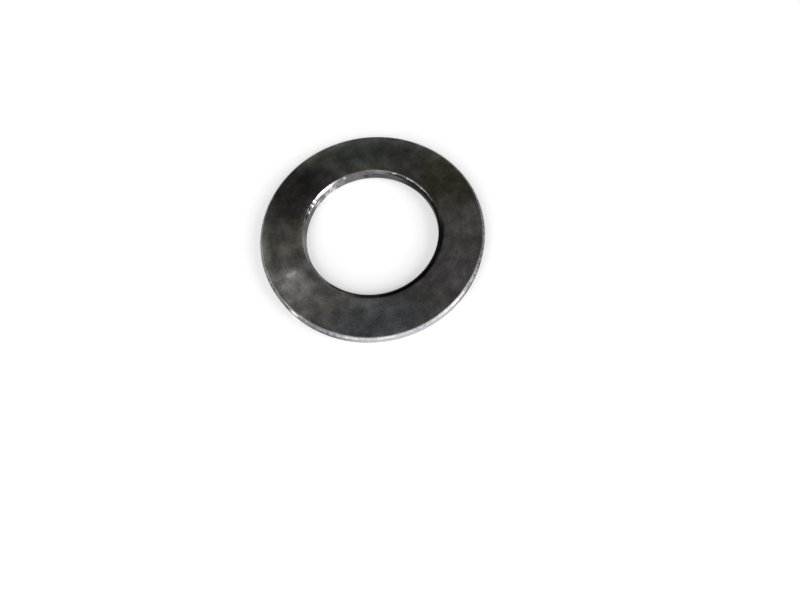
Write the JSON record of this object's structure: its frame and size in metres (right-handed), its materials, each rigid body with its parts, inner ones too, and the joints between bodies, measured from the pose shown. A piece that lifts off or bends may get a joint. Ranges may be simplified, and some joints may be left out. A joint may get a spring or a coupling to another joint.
{
  "type": "thrust washer",
  "caption": "Flat hardened steel ring with a plain bore and chamfered edges that takes axial load between a shoulder and a rotating part.",
  "frame": {"origin": "centre of the bore at the lower face", "axes": "+Z along the bore, from the lower face to the upper face; the ring is the same all the way round, so X and Y are free"},
  "size_m": [0.042, 0.042, 0.0025],
  "materials": {
    "steel": "hardened steel, dark grey and faintly cloudy on the lapped faces, brighter where the tumbled chamfers and walls are rubbed"
  },
  "bodies": {
    "root": {"thrust_washer": "steel"}
  },
  "joints": []
}
